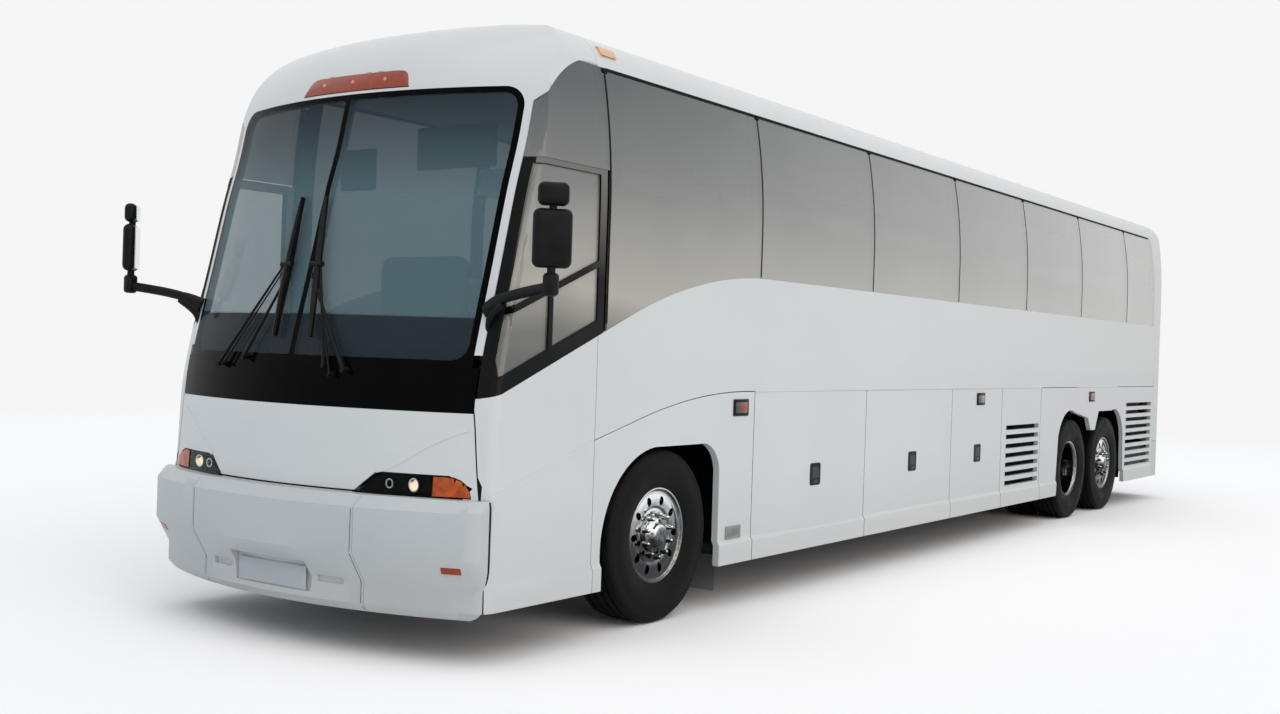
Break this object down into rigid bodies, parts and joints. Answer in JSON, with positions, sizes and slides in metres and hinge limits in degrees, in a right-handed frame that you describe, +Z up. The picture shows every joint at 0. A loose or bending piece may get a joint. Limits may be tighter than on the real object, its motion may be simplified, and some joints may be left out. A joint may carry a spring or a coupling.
{
  "type": "coach bus",
  "caption": "Three-axle high-floor touring coach, white, with dark bonded side glazing, twin-pane windshield, luggage bay doors, louvred rear and arm mirrors",
  "frame": {"origin": "on the ground under the middle of the whole bus, mirrors included", "axes": "+Z up, +X to the bus's left side, +Y to its rear; the front faces -Y"},
  "size_m": [3.5252, 13.4998, 3.51],
  "materials": {
    "body_paint": "gloss",
    "black_paint": "gloss",
    "bumper_plastic": "gloss",
    "tinted_glass": "tinted",
    "clear_glass": "clear",
    "lamp_plastic": "gloss",
    "tyre_rubber": "matt",
    "polished_alloy": "polished",
    "chassis_steel": "satin",
    "floor_board": "matt",
    "trim_plastic": "matt",
    "seat_fabric": "woven",
    "cast_steel": "cast"
  },
  "bodies": {
    "body": {"body_lamps": "lamp_plastic", "cab_floor": "floor_board", "chassis_frame": "chassis_steel", "dashboard": "trim_plastic", "driver_seat": "seat_fabric", "driver_window_frame": "black_paint", "engine_block": "cast_steel", "floor_deck": "floor_board", "front_arch_panels": "body_paint", "front_axle": "chassis_steel", "front_bumper": "bumper_plastic", "front_cap": "body_paint", "front_side_panels": "body_paint", "headlamps": "lamp_plastic", "luggage_bays": "floor_board", "luggage_racks": "trim_plastic", "mirrors": "black_paint", "nose_panel": "body_paint", "passenger_seats": "seat_fabric", "rear_axles": "chassis_steel", "rear_bumper": "bumper_plastic", "rear_mask": "body_paint", "rear_quarter_panels": "body_paint", "rear_window_pane": "tinted_glass", "roof": "body_paint", "side_glass": "tinted_glass", "side_panels": "body_paint", "steering_wheel": "trim_plastic", "wheel_houses": "chassis_steel", "window_posts": "black_paint", "windshield_panes": "clear_glass", "windshield_surround": "black_paint", "wipers": "black_paint"},
    "engine_door": {"engine_door": "body_paint"},
    "entrance_door": {"entrance_door": "body_paint", "entrance_door_glass": "tinted_glass"},
    "knuckle_left": {"knuckle_left": "cast_steel"},
    "knuckle_right": {"knuckle_right": "cast_steel"},
    "louvred_door_left": {"louvred_door_left": "body_paint"},
    "louvred_door_right": {"louvred_door_right": "body_paint"},
    "luggage_door_left_1": {"luggage_door_left_1": "body_paint"},
    "luggage_door_left_2": {"luggage_door_left_2": "body_paint"},
    "luggage_door_left_3": {"luggage_door_left_3": "body_paint"},
    "luggage_door_right_1": {"luggage_door_right_1": "body_paint"},
    "luggage_door_right_2": {"luggage_door_right_2": "body_paint"},
    "luggage_door_right_3": {"luggage_door_right_3": "body_paint"},
    "wheel_front_left": {"tyre_front_left": "tyre_rubber", "wheel_front_left": "polished_alloy"},
    "wheel_front_right": {"tyre_front_right": "tyre_rubber", "wheel_front_right": "polished_alloy"},
    "wheel_tag_left": {"tyre_tag_left": "tyre_rubber", "wheel_tag_left": "polished_alloy"},
    "wheel_tag_right": {"tyre_tag_right": "tyre_rubber", "wheel_tag_right": "polished_alloy"},
    "wheel_drive_left": {"tyres_drive_left": "tyre_rubber", "wheel_drive_left": "polished_alloy"},
    "wheel_drive_right": {"tyres_drive_right": "tyre_rubber", "wheel_drive_right": "polished_alloy"}
  },
  "joints": [
    {"name": "hinge_luggage_door_left_1", "type": "hinge", "parent": "body", "child": "luggage_door_left_1", "pos_m": [1.28, -2.835, 1.405], "axis": [0, -1, 0], "range_deg": [0, 90]},
    {"name": "hinge_luggage_door_left_2", "type": "hinge", "parent": "body", "child": "luggage_door_left_2", "pos_m": [1.28, -1.125, 1.405], "axis": [0, -1, 0], "range_deg": [0, 90]},
    {"name": "hinge_luggage_door_left_3", "type": "hinge", "parent": "body", "child": "luggage_door_left_3", "pos_m": [1.28, 0.34, 1.405], "axis": [0, -1, 0], "range_deg": [0, 90]},
    {"name": "hinge_louvred_door_left", "type": "hinge", "parent": "body", "child": "louvred_door_left", "pos_m": [1.28, 1.5, 1.405], "axis": [0, -1, 0], "range_deg": [0, 90]},
    {"name": "hinge_luggage_door_right_1", "type": "hinge", "parent": "body", "child": "luggage_door_right_1", "pos_m": [-1.28, -2.835, 1.405], "axis": [0, 1, 0], "range_deg": [0, 90]},
    {"name": "hinge_luggage_door_right_2", "type": "hinge", "parent": "body", "child": "luggage_door_right_2", "pos_m": [-1.28, -1.125, 1.405], "axis": [0, 1, 0], "range_deg": [0, 90]},
    {"name": "hinge_luggage_door_right_3", "type": "hinge", "parent": "body", "child": "luggage_door_right_3", "pos_m": [-1.28, 0.34, 1.405], "axis": [0, 1, 0], "range_deg": [0, 90]},
    {"name": "hinge_louvred_door_right", "type": "hinge", "parent": "body", "child": "louvred_door_right", "pos_m": [-1.28, 1.5, 1.405], "axis": [0, 1, 0], "range_deg": [0, 90]},
    {"name": "hinge_entrance_door", "type": "hinge", "parent": "body", "child": "entrance_door", "pos_m": [-1.28, -6.257, 0.87], "axis": [0, 0, 1], "range_deg": [0, 70]},
    {"name": "hinge_engine_door", "type": "hinge", "parent": "body", "child": "engine_door", "pos_m": [0, 6.74, 2.037], "axis": [1, 0, 0], "range_deg": [0, 90]},
    {"name": "steer_left", "type": "hinge", "parent": "body", "child": "knuckle_left", "pos_m": [0.925, -4.7, 0.53], "axis": [0, 0, 1], "range_deg": [-42, 42]},
    {"name": "spin_front_left", "type": "hinge", "parent": "knuckle_left", "child": "wheel_front_left", "pos_m": [1.085, -4.7, 0.53], "axis": [1, 0, 0], "continuous": true},
    {"name": "spin_drive_left", "type": "hinge", "parent": "body", "child": "wheel_drive_left", "pos_m": [0.9215, 3.2, 0.53], "axis": [1, 0, 0], "continuous": true},
    {"name": "spin_tag_left", "type": "hinge", "parent": "body", "child": "wheel_tag_left", "pos_m": [1.094, 4.42, 0.53], "axis": [1, 0, 0], "continuous": true},
    {"name": "steer_right", "type": "hinge", "parent": "body", "child": "knuckle_right", "pos_m": [-0.925, -4.7, 0.53], "axis": [0, 0, 1], "range_deg": [-42, 42]},
    {"name": "spin_front_right", "type": "hinge", "parent": "knuckle_right", "child": "wheel_front_right", "pos_m": [-1.085, -4.7, 0.53], "axis": [1, 0, 0], "continuous": true},
    {"name": "spin_drive_right", "type": "hinge", "parent": "body", "child": "wheel_drive_right", "pos_m": [-0.9215, 3.2, 0.53], "axis": [1, 0, 0], "continuous": true},
    {"name": "spin_tag_right", "type": "hinge", "parent": "body", "child": "wheel_tag_right", "pos_m": [-1.094, 4.42, 0.53], "axis": [1, 0, 0], "continuous": true}
  ],
  "couplings": [
    {"joint": "steer_right", "follows": "steer_left", "ratio": 1}
  ]
}
